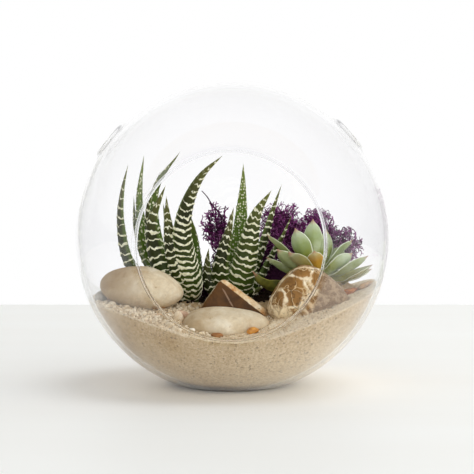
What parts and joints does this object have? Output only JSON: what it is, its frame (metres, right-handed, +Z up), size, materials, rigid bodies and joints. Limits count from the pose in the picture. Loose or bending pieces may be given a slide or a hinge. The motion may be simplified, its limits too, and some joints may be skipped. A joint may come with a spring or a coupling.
{
  "type": "glass plant terrarium",
  "caption": "Round glass globe with a large front opening and small side vents, planted with banded and pale succulents, dyed moss and river stones in sand.",
  "frame": {"origin": "middle of the flat glass foot, on the surface that the globe stands on", "axes": "+Z up, -Y out of the large front opening, +X to the right of someone looking in"},
  "size_m": [0.1799, 0.1642, 0.1742],
  "materials": {
    "clear_glass": "polished",
    "fine_sand": "matte",
    "potting_soil": "matte",
    "cream_stone": "smooth",
    "brown_stone": "smooth",
    "veined_stone": "smooth",
    "grey_stone": "matte",
    "amber_chip": "matte",
    "brown_chip": "matte",
    "bark": "matte",
    "banded_leaf": "satin",
    "pale_leaf": "satin",
    "dyed_moss": "matte"
  },
  "bodies": {
    "root": {"glass_globe": "clear_glass", "sand": "fine_sand", "soil": "potting_soil", "stone_left": "cream_stone", "stone_front": "cream_stone", "stone_brown": "brown_stone", "stone_veined": "veined_stone", "pebble_cream": "cream_stone", "pebble_pink": "cream_stone", "pebble_round": "cream_stone", "pebble_white": "cream_stone", "pebble_grey": "grey_stone", "chip_amber": "amber_chip", "chip_brown": "brown_chip", "bark_near": "bark", "bark_far": "bark", "haworthia_left": "banded_leaf", "haworthia_right": "banded_leaf", "echeveria": "pale_leaf", "moss_left": "dyed_moss", "moss_right": "dyed_moss"}
  },
  "joints": []
}
